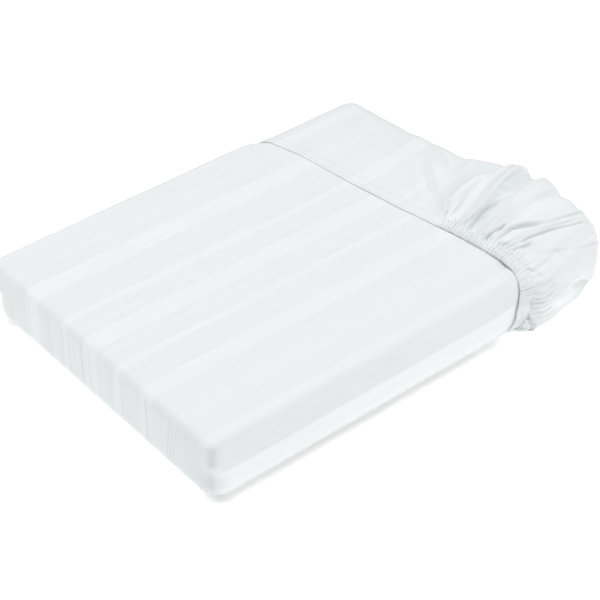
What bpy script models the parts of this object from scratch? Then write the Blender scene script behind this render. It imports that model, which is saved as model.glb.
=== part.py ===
"""A fitted sheet, folded into a flat pack.

The sheet is one cloth, so it is one solid. Its middle surface is laid out first, in four runs that
share their corners, and is then thickened:
  the wrap      the outermost layer: top, near wall, right wall, and the bottom it lies on;
  the stack     the layers inside, one back-and-forth section that shows on the open left side;
  the turn-over one end of the sheet, brought up round the far end and down on the top;
  the pouch     that end's gathered corner, drawn in by the hem and puffed up behind it.
Metres, +Z up, +Y from the near end to the far end, origin at the middle of the underside.
"""

import math

import bmesh
import bpy
from mathutils import Vector

MM = 0.001

# Driving dimensions of the folded pack
PACK_WIDTH = 250 * MM
PACK_LENGTH = 332 * MM
PACK_HEIGHT = 52.5 * MM
EDGE_RADIUS = 16 * MM
CLOTH = 2.4 * MM  # plies that lie together as one layer of the pack
GAP = 1.0 * MM  # least air between two layers
INNER_LAYERS = 11
HALF = CLOTH / 2

# The wrap: its middle surface as a box with rounded edges
WRAP_X = PACK_WIDTH / 2 - HALF
WRAP_NEAR = -PACK_LENGTH / 2 + HALF
WRAP_TOP = PACK_HEIGHT - HALF
FLOOR = HALF
WRAP_RADIUS = EDGE_RADIUS - HALF
WRAP_END = 150 * MM  # where the top panel turns back under itself, inside the turn-over
TUCK = 2.8 * MM  # how far the wrap draws in where the turn-over covers it
TUCK_RUN = 12 * MM
BOTTOM_FLARE = 7 * MM  # how far the bottom's side edges bow out between its ends
LEFT_LIFT_START = WRAP_NEAR + 22 * MM  # the left wall's free edge leaves the bottom here
LEFT_LIFT_END = WRAP_NEAR + 78 * MM  # and has reached the top edge here
LEFT_LIFT_DROP = 17 * MM
RIGHT_LIFT = 6 * MM  # the right wall's free edge rises a little to clear the turn-over's foot
RIGHT_LIFT_START = 70 * MM
RIGHT_LIFT_END = 96 * MM

# The turn-over: a looser box round the far end
CAP_X = PACK_WIDTH / 2 - 0.5 * MM
CAP_FAR = PACK_LENGTH / 2 - 1.0 * MM
CAP_TOP = PACK_HEIGHT - 0.6 * MM
CAP_RADIUS = 14 * MM
POUCH_RADIUS = 10 * MM  # edges of the puffed part are tighter
POUCH_START = -5 * MM  # along the far edge the pouch swells from here
POUCH_FULL = 45 * MM
POUCH_BACK = 10.8 * MM  # how far it stands out past the far end
POUCH_SIDE = 9.3 * MM  # and past the right side
POUCH_FOOT = 8 * MM  # below this height it hugs the pack more
POUCH_SHOULDER = 26 * MM  # above this height it is puffed fully
POUCH_LEAN = 0.6  # how much of the swelling the right side loses again towards its top
POUCH_LEAN_START = 34 * MM
POUCH_LEAN_END = 60 * MM
SIDE_FOOT_SHARE = 0.95  # how much of the swelling the foot keeps on the right side
BACK_FOOT_SHARE = 0.1  # and on the far side
BAND = 10 * MM  # width of the hem band
BAND_RISE = 1.0 * MM  # the gathered band stands up by this much
ELASTIC_START = 38 * MM  # along the hem the gathers begin here
ELASTIC_FULL = 52 * MM

# Where the hem's edge runs, on the top from left to right
HEM_ON_TOP = (
    # x mm, y mm
    (-126, 69.0),
    (-83, 77.0),
    (-38, 82.6),
    (-3, 87.3),
    (40, 93.4),
    (78, 96.6),
    (126, 99.0),
)
# and on the right side from top to bottom
HEM_ON_SIDE = (
    # z mm, y mm
    (54, 99.0),
    (35, 98.0),
    (20, 95.0),
    (10, 89.0),
    (1, 83.0),
)
HEM_LEFT_Y = 69 * MM

# How high the far rim of the turn-over stands above its flat part
RIM = (
    # x mm, rise mm
    (-126, 0.0),
    (-95, 0.8),
    (-60, 3.2),
    (-30, 7.2),
    (-12, 9.4),
    (3, 10.4),
    (16, 13.2),
    (36, 13.4),
    (43, 20.2),
    (52, 21.2),
    (60, 16.0),
    (66, 17.8),
    (74, 23.0),
    (81, 21.4),
    (88, 17.2),
    (98, 17.0),
    (108, 15.2),
    (118, 10.8),
    (130, 5.8),
)

# Each pleat fans out from the hem band to the far rim: valleys have a lift below zero
PLEATS = (
    # x at the hem mm, x at the rim mm, lift mm, lift at the rim mm
    (20, -14, 0.0, 0.0),
    (31, 12, -1.4, -0.6),
    (39, 33, 2.4, 1.0),
    (48, 43, -1.8, -0.6),
    (57, 52, 2.8, 1.4),
    (66, 61, -3.0, -1.6),
    (73, 72, 1.8, 1.2),
    (79, 82, -0.9, -0.8),
    (85, 95, 1.9, 0.8),
    (91, 108, -2.4, -0.8),
    (98, 114, 1.0, 0.2),
    (105, 118, -1.2, 0.0),
)
PLEAT_STEPS = 3  # columns from one pleat line to the next

# Creases and rolls on the pouch's right side, each from one end to the other
SIDE_FOLDS = (
    # y mm, z mm, y mm, z mm, lift mm, half width mm
    (108, 52, 166, 46, 1.2, 8),
    (112, 42, 166, 22, -1.6, 7),
    (112, 33, 142, 26, 1.2, 7),
    (109, 27, 134, 16, -1.0, 6),
)


def mix(a, b, part):
    return a + (b - a) * part


def smooth(value, start, end):
    """0 before start, 1 after end, and an even S between them."""
    part = min(1.0, max(0.0, (value - start) / (end - start)))
    return part * part * (3 - 2 * part)


def read_table(table, at):
    """A table's second column at a value of its first, in metres, eased from row to row."""
    rows = [(first * MM, second * MM) for first, second in table]
    rows.sort()
    if at <= rows[0][0]:
        return rows[0][1]
    for (start, low), (end, high) in zip(rows, rows[1:]):
        if at <= end:
            return mix(low, high, smooth(at, start, end))
    return rows[-1][1]


def even(start, end, count):
    return [mix(start, end, i / count) for i in range(count + 1)]


ROUND_STEP = math.tan(math.radians(22.5))  # halfway round the half of one round edge


def edge_steps(edge, inward, radius):
    """Three lines that a rounded box turns into the half of one round edge."""
    return [edge + inward * radius * (1 - part) for part in (1, ROUND_STEP, 0)]


def rounded(point, low, high, radius):
    """A point on a sharp box moved on to the same box with round edges."""
    core = Vector(
        min(max(p, a + radius), b - radius) for p, a, b in zip(point, low, high)
    )
    return core + (Vector(point) - core).normalized() * radius


class Cloth:
    """The cloth's middle surface, patch by patch."""

    def __init__(self):
        self.mesh = bmesh.new()

    def patch(self, rows):
        """Quads between neighbouring rows of points."""
        corners = [[self.mesh.verts.new(point) for point in row] for row in rows]
        for row, following in zip(corners, corners[1:]):
            for a, b, c, d in zip(row, row[1:], following[1:], following):
                self.mesh.faces.new((a, b, c, d))

    def face(self, points):
        self.mesh.faces.new([self.mesh.verts.new(point) for point in points])

    def finish(self, name, material):
        """One object: patches joined where they meet, all facing one way, then thickened."""
        bmesh.ops.remove_doubles(self.mesh, verts=self.mesh.verts, dist=0.02 * MM)
        bmesh.ops.recalc_face_normals(self.mesh, faces=self.mesh.faces)
        data = bpy.data.meshes.new(name)
        self.mesh.to_mesh(data)
        self.mesh.free()
        data.shade_smooth()
        data.materials.append(material)
        item = bpy.data.objects.new(name, data)
        bpy.context.scene.collection.objects.link(item)
        thicken = item.modifiers.new("cloth_thickness", "SOLIDIFY")
        thicken.thickness = CLOTH
        thicken.offset = 0
        return item


def hem_y(x):
    return read_table(HEM_ON_TOP, x)


def hem_side_y(z):
    return read_table(HEM_ON_SIDE, z)


# The wrap and the bottom -------------------------------------------------------------------------

WRAP_COLUMNS = (
    edge_steps(-WRAP_X, 1, WRAP_RADIUS)
    + even(WRAP_RADIUS - WRAP_X, WRAP_X - WRAP_RADIUS, 5)[1:-1]
    + edge_steps(WRAP_X, -1, WRAP_RADIUS)[::-1]
)
WRAP_HEIGHTS = (
    edge_steps(FLOOR, 1, WRAP_RADIUS)
    + [PACK_HEIGHT / 2]
    + edge_steps(WRAP_TOP, -1, WRAP_RADIUS)[::-1]
)
FLAT_COLUMNS = WRAP_COLUMNS[2:-2]  # those between the two round side edges
BOTTOM_ROWS = 7


def hem_line(x, z):
    """The y of the hem's edge, over the top and down both sides."""
    return min(hem_y(x), hem_side_y(z)) if x > 0 else hem_y(x)


def wrap_rows(x, z):
    """The y of each row of the wrap; the rows bend to run along the hem where they reach it."""
    near = edge_steps(WRAP_NEAR, 1, WRAP_RADIUS)
    hem = hem_line(x, z)
    return (
        near
        + even(near[-1], hem - TUCK_RUN, 4)[1:]
        + [hem - TUCK_RUN / 2, hem]
        + even(hem, WRAP_END, 2)[1:]
    )


def tuck(x, y, z):
    """How far the wrap is drawn in at this place: only near and under the turn-over."""
    hem = hem_line(x, z)
    return TUCK * smooth(y, hem - TUCK_RUN, hem)


def wrap_point(x, y, z):
    """A point of the wrap, from its place on the sharp box."""
    drawn = tuck(x, y, z)
    side = WRAP_X - drawn
    top = WRAP_TOP - drawn
    reach = side / WRAP_X
    low = (-side, WRAP_NEAR, FLOOR)
    high = (side, PACK_LENGTH, top)
    height = mix(FLOOR, top, (z - FLOOR) / (WRAP_TOP - FLOOR))
    return rounded((x * reach, y, height), low, high, WRAP_RADIUS)


def left_height(y, z):
    """The left wall's rows close up towards the top edge, away from the near corner."""
    lift = smooth(y, LEFT_LIFT_START, LEFT_LIFT_END)
    lowest = mix(FLOOR, WRAP_TOP - LEFT_LIFT_DROP, lift)
    part = (z - FLOOR) / (WRAP_TOP - FLOOR)
    return mix(lowest, WRAP_TOP, part)


def right_height(y, z):
    """The right wall's free lower edge rises where it goes inside the turn-over."""
    lowest = FLOOR + RIGHT_LIFT * smooth(y, RIGHT_LIFT_START, RIGHT_LIFT_END)
    return mix(lowest, WRAP_TOP, (z - FLOOR) / (WRAP_TOP - FLOOR))


def bottom_end(x):
    """Where the bottom goes over into the turn-over."""
    return mix(HEM_LEFT_Y, hem_side_y(0), smooth(x, -CAP_X, CAP_X))


def bottom_point(x, part):
    """A point of the flat bottom, from the near round edge (0) to the turn-over (1)."""
    start = FLAT_COLUMNS[-1]
    end = CAP_X - CAP_RADIUS
    half = mix(start, end, part) + BOTTOM_FLARE * math.sin(math.pi * part)
    place = x / start
    y = mix(WRAP_NEAR + WRAP_RADIUS, bottom_end(place * end), part)
    return Vector((place * half, y, FLOOR))


def build_wrap(cloth):
    row_count = len(wrap_rows(0, WRAP_TOP))
    top = []
    for row in range(row_count):
        top.append([wrap_point(x, wrap_rows(x, WRAP_TOP)[row], WRAP_TOP) for x in WRAP_COLUMNS])
    cloth.patch(top)
    cloth.patch([[wrap_point(x, WRAP_NEAR, z) for x in WRAP_COLUMNS] for z in WRAP_HEIGHTS])
    for side, height in ((1, right_height), (-1, left_height)):
        wall = []
        for level in WRAP_HEIGHTS:
            rows = wrap_rows(side * WRAP_X, level)
            wall.append([wrap_point(side * WRAP_X, y, height(y, level)) for y in rows])
        cloth.patch(wall)
    round_rows = wrap_rows(0, FLOOR)[:3]
    cloth.patch([[wrap_point(x, y, FLOOR) for x in FLAT_COLUMNS] for y in round_rows])
    parts = even(0, 1, BOTTOM_ROWS)
    cloth.patch([[bottom_point(x, part) for x in FLAT_COLUMNS] for part in parts])


# The stack ---------------------------------------------------------------------------------------

STACK_TOP = WRAP_TOP - TUCK
PITCH = (STACK_TOP - FLOOR) / (INNER_LAYERS + 1)
STACK_RADIUS = WRAP_RADIUS - CLOTH - GAP
STACK_CORE = WRAP_X - TUCK - WRAP_RADIUS  # from here out the wrap's round edges limit the layers
STACK_EDGE = FLAT_COLUMNS[-1] * (WRAP_X - TUCK) / WRAP_X  # where the tucked top panel is still flat
STACK_ROWS = 5
STACK_COLUMNS = (0, 0.08, 0.5, 0.92, 1)
BEND_STEPS = 5
BEND_REACH = 1.1 * PITCH / 2  # folds are a little longer than half round
STACK_BULGE = 3.0 * MM  # the lower folds stand out further along the open left side
FOLD_PLAY = 0.5 * MM


def layer_height(layer):
    return STACK_TOP - layer * PITCH


def room(z, x=0.0):
    """How far the wrap's round edges let a layer reach past the edge's middle at this place."""
    above = z - (STACK_TOP - WRAP_RADIUS)
    below = FLOOR + WRAP_RADIUS - z
    aside = abs(x) - STACK_CORE
    left = STACK_RADIUS**2 - max(above, below, 0.0) ** 2 - max(aside, 0.0) ** 2
    return math.sqrt(max(0.0, left))


def layer_y(layer, x, part):
    """A place along a layer at this x, from its near end (0) to its far end (1)."""
    reach = room(layer_height(layer), x)
    near = WRAP_NEAR + WRAP_RADIUS - reach
    far = WRAP_END if layer == 1 else WRAP_END + 0.8 * reach
    return mix(near, far, part)


def fold_side(layer, y, side):
    """Where the fold below a layer starts to turn."""
    reach = min(room(layer_height(layer)), room(layer_height(layer + 1)))
    play = FOLD_PLAY * math.sin(2.3 * layer + 6 * y / PACK_LENGTH)
    out = 0.0
    if side < 0:
        out = STACK_BULGE * smooth(y, LEFT_LIFT_END - 20 * MM, LEFT_LIFT_END + 30 * MM)
        out *= 1 - smooth(y, HEM_LEFT_Y - 45 * MM, HEM_LEFT_Y - 8 * MM)
        out *= 1 - smooth(layer_height(layer), PACK_HEIGHT / 2 - 5 * MM, PACK_HEIGHT / 2 + 5 * MM)
        out *= reach / STACK_RADIUS
    return side * (STACK_CORE + max(0.0, reach - BEND_REACH - FOLD_PLAY + play) + out)


def layer_point(layer, x_part, y_part):
    """A point of a layer, as parts of its width and of its length."""
    y = mix(WRAP_NEAR, WRAP_END, y_part)
    if layer % 2:
        left = fold_side(layer, y, -1)
        right = fold_side(layer - 1, y, 1)
    else:
        left = fold_side(layer - 1, y, -1)
        right = fold_side(layer, y, 1)
    if layer == 1:
        left, right = -STACK_EDGE, STACK_EDGE
    if layer == 2:
        left = -STACK_EDGE
    x = mix(left, right, x_part)
    outermost = abs(x) + BEND_REACH if x_part in (0, 1) else x
    return Vector((x, layer_y(layer, outermost, y_part), layer_height(layer)))


def build_turn(cloth, columns):
    """The top panel's far edge turns down and back into the first layer."""
    turn = []
    for step in range(BEND_STEPS + 1):
        angle = math.pi * step / BEND_STEPS
        y = WRAP_END + BEND_REACH * math.sin(angle)
        z = layer_height(0.5) + PITCH / 2 * math.cos(angle)
        turn.append([Vector((layer_point(1, part, 1).x, y, z)) for part in columns])
    cloth.patch(turn)


def build_fold(cloth, layer, rows):
    """The fold from one layer down to the next: left below odd layers, right below even ones."""
    side = -1 if layer % 2 else 1
    edge = 0 if layer % 2 else 1
    fold = []
    for step in range(BEND_STEPS + 1):
        angle = math.pi * step / BEND_STEPS
        line = []
        for y_part in rows:
            upper = layer_point(layer, edge, y_part)
            lower = layer_point(layer + 1, edge, y_part)
            place = mix(upper, lower, (1 - math.cos(angle)) / 2)
            place.x += side * BEND_REACH * math.sin(angle)
            line.append(place)
        fold.append(line)
    cloth.patch(fold)


def build_stack(cloth):
    first_columns = [(x / FLAT_COLUMNS[-1] + 1) / 2 for x in FLAT_COLUMNS]
    build_turn(cloth, first_columns)
    rows = even(0, 1, STACK_ROWS)
    for layer in range(1, INNER_LAYERS + 1):
        columns = first_columns if layer == 1 else STACK_COLUMNS
        cloth.patch([[layer_point(layer, u, v) for u in columns] for v in rows])
        if layer < INNER_LAYERS:
            build_fold(cloth, layer, rows)


# The turn-over and its pouch ---------------------------------------------------------------------

CAP_INNER_X = CAP_X - CAP_RADIUS
# Rows from the hem to the far round edge, as millimetres in from the hem, then as parts of the rest
HEM_STEPS = (0, 4, 9, 15, 23)
REST_STEPS = (0.17, 0.34, 0.5, 0.67, 0.83, 1.0)
WALL_STEPS = (0.17, 0.34, 0.5, 0.67, 0.83)  # lines down the upright part of a wall
UPPER_LEVELS = 3 + len(WALL_STEPS)  # lines that carry the pleats; three more round the foot


def cap_columns():
    """(x at the hem, x at the rim, lift, lift at the rim) for each line from hem to far rim."""
    columns = [(x, x, 0.0, 0.0) for x in edge_steps(-CAP_X, 1, CAP_RADIUS)]
    first = PLEATS[0]
    for part in even(0, 1, 5)[1:-1]:
        left = -CAP_INNER_X
        columns.append((mix(left, first[0] * MM, part), mix(left, first[1] * MM, part), 0.0, 0.0))
    for row, following in zip(PLEATS, PLEATS[1:]):
        for step in range(PLEAT_STEPS):
            part = step / PLEAT_STEPS
            hem, rim = (mix(row[i], following[i], part) * MM for i in (0, 1))
            lift, rim_lift = (mix(row[i], following[i], smooth(part, 0, 1)) * MM for i in (2, 3))
            columns.append((hem, rim, lift, rim_lift))
    columns.append(tuple(size * MM for size in PLEATS[-1]))
    hem_edge = edge_steps(CAP_X, -1, CAP_RADIUS)[::-1]
    rim_edge = edge_steps(CAP_X + side_swell(1.0), -1, POUCH_RADIUS)[::-1]
    return columns + [(hem, rim, 0.0, 0.0) for hem, rim in zip(hem_edge, rim_edge)]


def pouch_share(x):
    """How much of the pouch's swelling a place along the far rim has."""
    return smooth(x, POUCH_START, POUCH_FULL)


def side_swell(part):
    """How far the pouch stands out from the right side, from the hem (0) to the far end (1)."""
    return POUCH_SIDE * smooth(part, 0.02, 0.3) * (1 - 0.5 * smooth(part, 0.45, 1.0))


def swell_at(z, least):
    """The swelling grows from the least share at the foot of the pack to all at the shoulder."""
    return mix(least, 1.0, smooth(z, POUCH_FOOT, POUCH_SHOULDER))


def row_parts(start, end):
    """The rows of the turn-over as parts of the way from the hem to the round far edge."""
    run = end - start
    parts = [step * MM / run for step in HEM_STEPS]
    last = parts[-1]
    return parts + [mix(last, 1.0, part) for part in REST_STEPS]


class CapPlace:
    """The rounded box that a point of the turn-over lies on, which differs from place to place."""

    def __init__(self, rim_x, part, z=None):
        share = pouch_share(rim_x)
        puff = smooth(part, 0.05, 0.95) if part < 1 else 1.0
        z = PACK_HEIGHT if z is None else z
        self.radius = mix(CAP_RADIUS, POUCH_RADIUS, share * part)
        lean = 1 - POUCH_LEAN * smooth(z, POUCH_LEAN_START, POUCH_LEAN_END)
        self.side = CAP_X + side_swell(part) * swell_at(z, SIDE_FOOT_SHARE) * lean
        self.far = CAP_FAR + POUCH_BACK * share * swell_at(z, BACK_FOOT_SHARE)
        self.top = CAP_TOP + read_table(RIM, rim_x) * math.sin(puff * math.pi / 2)

    def round_off(self, point):
        low = (-CAP_X, -PACK_LENGTH, FLOOR)
        high = (self.side, self.far, self.top)
        return rounded(point, low, high, self.radius)


def pleat_lift(column, part):
    """How far a pleat's line is lifted, from the hem (0) to the rim (1)."""
    return mix(column[2], column[3], smooth(part, 0.5, 1.0)) * smooth(part, 0.08, 0.3)


def side_lift(y, z):
    """How far the folds of the right side raise it at this place."""
    lift = 0.0
    for y0, z0, y1, z1, height, width in SIDE_FOLDS:
        run = Vector((y1 - y0, z1 - z0)) * MM
        off = Vector((y - y0 * MM, z - z0 * MM))
        along = min(1.0, max(0.0, off.dot(run) / run.length_squared))
        distance = (off - run * along).length
        lift += height * MM * math.exp(-((distance / (width * MM)) ** 2))
    return lift


def cap_rows(hem, far, radius):
    """The y of each row, from the hem's edge to the sharp far edge."""
    end = far - radius
    rows = [mix(hem, end, part) for part in row_parts(hem, end)]
    return rows + [mix(end, far, ROUND_STEP), far]


def top_line(column):
    """One line of the top, from the hem's edge over the flap to the far rim."""
    hem_x, rim_x = column[:2]
    whole = CapPlace(rim_x, 1.0)
    start = hem_y(hem_x)
    points = []
    for y in cap_rows(start, whole.far, whole.radius):
        part = min(1.0, (y - start) / (whole.far - whole.radius - start))
        place = CapPlace(rim_x, part)
        x = mix(hem_x, rim_x, smooth(part, 0.0, 1.15) if part < 1 else 1.0)
        if hem_x > CAP_INNER_X:
            inward = (CAP_X - hem_x) / CAP_RADIUS
            x = place.side - inward * place.radius
        point = place.round_off((x, min(y, place.far), place.top))
        point.z += pleat_lift(column, part) + BAND_RISE * elastic(hem_x) * band_share(y - start)
        points.append(point)
    return points


def elastic(x):
    """The part of the hem that is gathered: to the right of the flat flap."""
    return smooth(x, ELASTIC_START, ELASTIC_FULL)


def band_share(step):
    """The band's rounded section, from the hem's edge to the band's inner side."""
    return smooth(step, 0, 0.4 * BAND) - smooth(step, 0.4 * BAND, 1.1 * BAND)


def build_cap(cloth):
    columns = cap_columns()
    top = [top_line(column) for column in columns]
    cloth.patch(top)
    rows = len(top[0])

    # Both sides: each row runs down from the top's outer line to the bottom's edge.
    right = [side_line(row, top[-1][row], 1) for row in range(rows)]
    cloth.patch(right)
    left = [side_line(row, top[0][row], -1) for row in range(rows)]
    cloth.patch(left)

    # Bottom: the same rows, between the lower ends of the two sides.
    below = (
        edge_steps(-CAP_X, 1, CAP_RADIUS)
        + [x * CAP_INNER_X / FLAT_COLUMNS[-1] for x in FLAT_COLUMNS[1:-1]]
        + edge_steps(CAP_X, -1, CAP_RADIUS)[::-1]
    )
    bottom = []
    for row in range(rows):
        line = [under_point(x, row) for x in below]
        line[0] = left[row][-1]
        line[-1] = right[row][-1]
        bottom.append(line)
    cloth.patch(bottom)

    # Far wall: the pleats run down it and fade, and fewer lines go on below them.
    upper = []
    for level in range(UPPER_LEVELS):
        upper.append([far_point(column, level) for column in columns])
    upper[0] = [line[-1] for line in top]
    for level, line in enumerate(upper):
        line[0] = left[-1][level]
        line[-1] = right[-1][level]
    cloth.patch(upper)
    seam = upper[-1]
    lower = [[low_far_point(x, level) for x in below] for level in range(3)]
    for level, line in enumerate(lower):
        line[0] = left[-1][len(upper) + level]
        line[-1] = right[-1][len(upper) + level]
    lower[-1] = bottom[-1]
    cloth.patch(lower)
    rims = [column[1] for column in columns]
    picks = [min(range(len(rims)), key=lambda i: abs(rims[i] - x)) for x in below]
    picks[0] = 0
    picks[-1] = len(rims) - 1
    for i, (a, b) in enumerate(zip(picks, picks[1:])):
        cloth.face([lower[0][i], lower[0][i + 1]] + seam[a : b + 1][::-1])


def wall_heights(top, radius):
    """Heights from the top's sharp edge down to the bottom's, the same number on each wall."""
    low = FLOOR + CAP_RADIUS
    high = top - radius
    edge = [top, mix(high, top, ROUND_STEP), high]
    foot = [low, mix(low, FLOOR, ROUND_STEP), FLOOR]
    return edge + [mix(high, low, part) for part in WALL_STEPS] + foot


def far_point(column, level):
    """A point of the far wall on a pleat's line."""
    rim_x, rim_lift = column[1], column[3]
    base = CapPlace(rim_x, 1.0)
    z = wall_heights(base.top, base.radius)[level]
    place = CapPlace(rim_x, 1.0, z)
    point = place.round_off((rim_x, place.far, z))
    point.y += rim_lift * (1 - level / (UPPER_LEVELS - 1))
    return point


def low_far_point(x, level):
    """A point of the far wall below its pleats."""
    base = CapPlace(x, 1.0)
    z = wall_heights(base.top, base.radius)[UPPER_LEVELS + level]
    place = CapPlace(x, 1.0, z)
    place.radius = CAP_RADIUS
    return place.round_off((x, place.far, z))


def side_line(row, start, side):
    """A line down the right (1) or left (-1) side of the turn-over."""
    rim_x = side * CAP_X
    whole = CapPlace(rim_x, 1.0)
    top_hem = hem_y(rim_x)
    ys = cap_rows(top_hem, whole.far, whole.radius)
    part = min(1.0, (ys[row] - top_hem) / (whole.far - whole.radius - top_hem))
    place = CapPlace(rim_x, part)
    points = [start]
    for z in wall_heights(place.top, place.radius)[1:]:
        at = CapPlace(rim_x, part, z)
        if z < FLOOR + CAP_RADIUS + MM:
            at.radius = CAP_RADIUS
        hem = HEM_LEFT_Y if side < 0 else hem_side_y(z)
        line = cap_rows(hem, at.far, at.radius)
        x = at.side if side > 0 else -CAP_X
        point = at.round_off((x, line[row], z))
        if side > 0:
            share = smooth(part, 0.12, 0.3) * (1 - smooth(part, 0.9, 1.0))
            point.x += share * side_lift(point.y, point.z)
        points.append(point)
    return points


def under_point(x, row):
    """A point of the turn-over's bottom."""
    far = CapPlace(x, 1.0, 0.0)
    far.radius = CAP_RADIUS
    y = cap_rows(bottom_end(x), far.far, far.radius)[row]
    return far.round_off((x, y, FLOOR))


def cotton():
    """White satin cotton."""
    material = bpy.data.materials.new("white_cotton_satin")
    material.use_nodes = True
    shader = material.node_tree.nodes["Principled BSDF"]
    shader.inputs["Base Color"].default_value = (0.83, 0.86, 0.86, 1.0)
    shader.inputs["Roughness"].default_value = 0.6
    shader.inputs["Metallic"].default_value = 0.0
    return material


def clear_scene():
    for item in list(bpy.data.objects):
        bpy.data.objects.remove(item, do_unlink=True)


def main():
    clear_scene()
    cloth = Cloth()
    build_wrap(cloth)
    build_stack(cloth)
    build_cap(cloth)
    cloth.finish("fitted_sheet", cotton())


main()
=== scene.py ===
"""Looks of the folded fitted sheet: one thin cloth along the solid's folds, its floor, light and camera.

The cloth is laid out much as in the solid, with more points: a wrap round the pack, the folded plies
inside it, and one end turned over with its gathered corner. The hem, its ribs, the creases and the
unevenness of soft cloth are then raised on it. Its weave, stripes and stitches are in its materials.
"""

import functools
import math

import bmesh
import bpy
import numpy as np
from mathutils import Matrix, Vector, noise


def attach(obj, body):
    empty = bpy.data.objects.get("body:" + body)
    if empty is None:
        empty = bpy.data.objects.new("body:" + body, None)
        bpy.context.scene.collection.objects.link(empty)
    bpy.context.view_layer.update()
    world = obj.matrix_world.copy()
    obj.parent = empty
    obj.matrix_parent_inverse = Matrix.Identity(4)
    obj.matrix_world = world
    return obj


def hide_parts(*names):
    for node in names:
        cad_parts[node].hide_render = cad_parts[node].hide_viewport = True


MM = 0.001

# Sizes of the pack and of the cloth wrapped round it
PACK_WIDTH = 250 * MM
PACK_LENGTH = 332 * MM
PACK_HEIGHT = 52.5 * MM
EDGE_RADIUS = 16 * MM
SOLID_CLOTH = 2.4 * MM
CLOTH = 0.5 * MM
HALF = CLOTH / 2
SKIN = SOLID_CLOTH / 2 - HALF  # from the solid's middle surface out to this cloth's

WRAP_X = PACK_WIDTH / 2 - HALF
WRAP_NEAR = -PACK_LENGTH / 2 + HALF
WRAP_TOP = PACK_HEIGHT - HALF
FLOOR = HALF
WRAP_RADIUS = EDGE_RADIUS - HALF
WRAP_END = 150 * MM
TUCK_RUN = 10 * MM
ROUND = 2.0  # the power of a round edge; more is a squarer one
TOP_EDGE_POWER = 6.5
RIGHT_EDGE_POWER = 2.2  # under the flap
BOTTOM_FLARE = 7 * MM
LEFT_LIFT_RUN = (WRAP_NEAR + 22 * MM, WRAP_NEAR + 78 * MM)
LEFT_LIFT_DROP = 17 * MM
RIGHT_LIFT = 5 * MM
RIGHT_LIFT_RUN = (70 * MM, 96 * MM)

# Sizes of the turned-over end, and of the pouch that swells out of it
CAP_X = PACK_WIDTH / 2 - 0.5 * MM + SKIN
CAP_FAR = PACK_LENGTH / 2 - 1.0 * MM + SKIN
CAP_TOP = PACK_HEIGHT - 0.6 * MM + SKIN
CAP_RADIUS = 14 * MM + SKIN
POUCH_RADIUS = 10 * MM + SKIN
POUCH_RUN = (-5 * MM, 45 * MM)
POUCH_BACK = 10.8 * MM
POUCH_SIDE = 9.3 * MM
POUCH_RISE = (8 * MM, 26 * MM)
POUCH_LEAN = 0.6
POUCH_LEAN_RUN = (34 * MM, 60 * MM)
SIDE_FOOT_SHARE = 0.95
BACK_FOOT_SHARE = 0.1
BAND = 10 * MM
BAND_RISE = 1.0 * MM
ELASTIC_RUN = (38 * MM, 52 * MM)
HEM_LEFT_Y = 69 * MM
HEM_FOOT_LIFT = 5 * MM  # of the hem's right end, off the floor

HEM_ON_TOP = (
    # x mm, y mm
    (-126, 69), (-84, 79), (-44, 83), (-6, 88), (13, 90.3), (30, 93.3), (48, 96.6), (65, 99.3),
    (83, 101.2), (102, 102.2), (113, 100.9), (126, 99.5),
)
HEM_ON_SIDE = (
    # z mm, y mm
    (54, 99.5), (35, 98.8), (20, 97), (10, 92), (1, 85),
)
RIM = (
    # x mm, rise of the far rim mm
    (-126, 0), (-95, 0.8), (-60, 3.2), (-30, 7.2), (-12, 9.4), (3, 10.4), (16, 13.2), (36, 13.4),
    (43, 20.2), (52, 21.2), (60, 16), (66, 17.8), (74, 23), (81, 21.4), (88, 17.2), (98, 17), (108, 15.2),
    (118, 10.8), (130, 5.8),
)
PLEATS = (
    # x at the hem mm, x at the rim mm, lift mm, lift at the rim mm
    (20, -14, 0, 0), (31, 12, -1.4, -0.6), (39, 33, 2.4, 1), (48, 43, -1.8, -0.6), (57, 52, 2.6, 1.4),
    (61, 56, 2, 0.4), (65, 60, -1.1, -0.8), (70, 67, 0.6, 0.6), (76, 77, 0.9, 0.8), (82, 88, -0.6, -0.4),
    (86, 96, 1, 0.6), (91, 105, -1, -0.6), (98, 111, 1, 0.2), (105, 114, -1, 0),
)
SIDE_FOLDS = (
    # y mm, z mm, y mm, z mm, lift mm, half width mm
    (108, 52, 166, 46, 1.2, 8), (112, 42, 166, 22, -1.6, 7), (112, 33, 142, 26, 1.2, 7),
    (109, 27, 134, 16, -1, 6),
)

TUCKS = (
    # way along the hem mm (x on the top, and on from there down the right side), depth mm
    (-126, 0), (30, 0), (42, 0.2), (52, 0.3), (88, 0.3), (100, 0.7), (108, 2.2), (113, 0.8), (117, 0),
    (125, 0), (131, 0.5), (141, 0.8), (150, 1.1), (160, 0.8), (168, 0.3), (177, 0),
)

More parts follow.
